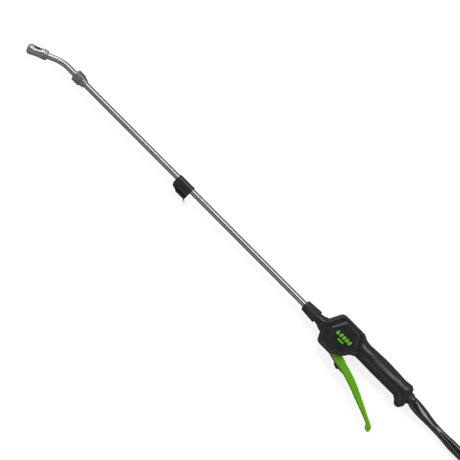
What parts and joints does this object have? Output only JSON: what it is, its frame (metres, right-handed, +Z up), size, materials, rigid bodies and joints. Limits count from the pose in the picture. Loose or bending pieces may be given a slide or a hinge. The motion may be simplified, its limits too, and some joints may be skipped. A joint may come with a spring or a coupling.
{
  "type": "spray lance with trigger gun",
  "caption": "Straight steel spray lance with a bent adjustable nozzle, a hexagonal trigger gun with a long lever, and a coiled hose with a swivel fitting.",
  "frame": {"origin": "on the outer face of the side cover that the gun rests on, straight below the lance axis", "axes": "+Z up through the gun's thickness, +X along the lance from the nozzle towards the grip, -Y on the trigger's side"},
  "size_m": [1.1165, 0.2275, 0.04],
  "materials": {
    "satin_steel": "satin machined steel",
    "tube_steel": "drawn stainless tube, finely brushed along its length",
    "brass": "machined brass",
    "nickel": "nickel-plated fitting",
    "hard_steel": "zinc-plated steel",
    "shell_black": "satin black moulded plastic",
    "cover_black": "fine-grained black plastic",
    "nut_black": "black moulded plastic",
    "trigger_green": "bright green satin-gloss plastic",
    "seal_rubber": "black rubber",
    "hose_rubber": "glossy black rubber hose"
  },
  "bodies": {
    "gun": {"shell_upper": "shell_black", "shell_lower": "shell_black", "side_cover_upper": "cover_black", "side_cover_lower": "cover_black", "shell_screws": "hard_steel", "valve_body": "brass", "valve_cap": "brass", "valve_cap_seal": "seal_rubber", "valve_spring": "hard_steel", "stem_seal": "seal_rubber", "trigger_pin": "hard_steel", "grip_pipe": "tube_steel", "inlet_filter": "brass", "hose_tail": "brass", "hose_clamp": "hard_steel", "butt_cap": "shell_black", "hose_gland": "seal_rubber", "hose": "hose_rubber", "hose_coil": "hose_rubber", "hose_end_sleeve": "nickel", "hose_end_stem": "brass", "hose_end_seal": "seal_rubber"},
    "lance": {"neck_tube": "tube_steel", "union_nut": "satin_steel", "neck_seal": "seal_rubber", "tube_ferrule": "satin_steel", "lance_tube": "tube_steel", "lance_collet": "nut_black", "lance_oring": "seal_rubber", "nozzle_stem": "satin_steel", "nozzle_oring": "seal_rubber", "swirl_core": "brass"},
    "lance_nut": {"lance_nut": "nut_black"},
    "parking_clip": {"parking_clip": "nut_black"},
    "nozzle_tip": {"nozzle_tip": "brass"},
    "nozzle_shroud": {"nozzle_shroud": "satin_steel"},
    "trigger": {"trigger_lever": "trigger_green"},
    "valve_stem": {"valve_stem": "brass", "valve_seat_ring": "seal_rubber"},
    "latch": {"trigger_latch": "nut_black"},
    "hose_end_nut": {"hose_end_nut": "nickel"}
  },
  "joints": [
    {"name": "lance_swivel", "type": "hinge", "parent": "gun", "child": "lance", "pos_m": [-0.05, 0, 0.02], "axis": [1, 0, 0], "continuous": true},
    {"name": "lance_nut_turn", "type": "hinge", "parent": "gun", "child": "lance_nut", "pos_m": [-0.065, 0, 0.02], "axis": [1, 0, 0], "range_deg": [0, 60]},
    {"name": "clip_slide", "type": "slide", "parent": "lance", "child": "parking_clip", "axis": [1, 0, 0], "range_m": [-0.19, 0.235]},
    {"name": "nozzle_advance", "type": "slide", "parent": "lance", "child": "nozzle_tip", "axis": [-0.9205, -0.3907, 0], "range_m": [0, 0.00076]},
    {"name": "nozzle_turn", "type": "hinge", "parent": "nozzle_tip", "child": "nozzle_shroud", "pos_m": [-0.63025, -0.01063, 0.02], "axis": [-0.9205, -0.3907, 0], "range_deg": [0, 180]},
    {"name": "trigger_pull", "type": "hinge", "parent": "gun", "child": "trigger", "pos_m": [-0.018, -0.0188, 0.02], "axis": [0, 0, 1], "range_deg": [0, 13], "stiffness_Nm_per_rad": 1.5, "springref_deg": -11.46},
    {"name": "valve_lift", "type": "slide", "parent": "gun", "child": "valve_stem", "axis": [0, 1, 0], "range_m": [0, 0.0034], "deforming": ["valve_spring"]},
    {"name": "latch_slide", "type": "slide", "parent": "trigger", "child": "latch", "axis": [-0.9648, 0.263, 0], "range_m": [0, 0.006]},
    {"name": "hose_end_nut_turn", "type": "hinge", "parent": "gun", "child": "hose_end_nut", "pos_m": [0.42621, -0.1335, 0.0222], "axis": [-0.4891, -0.8471, 0.2079], "continuous": true}
  ],
  "couplings": [
    {"joint": "nozzle_advance", "follows": "nozzle_turn", "m_per_rad": 0.00023873},
    {"joint": "valve_lift", "follows": "trigger_pull", "m_per_rad": 0.0148}
  ]
}
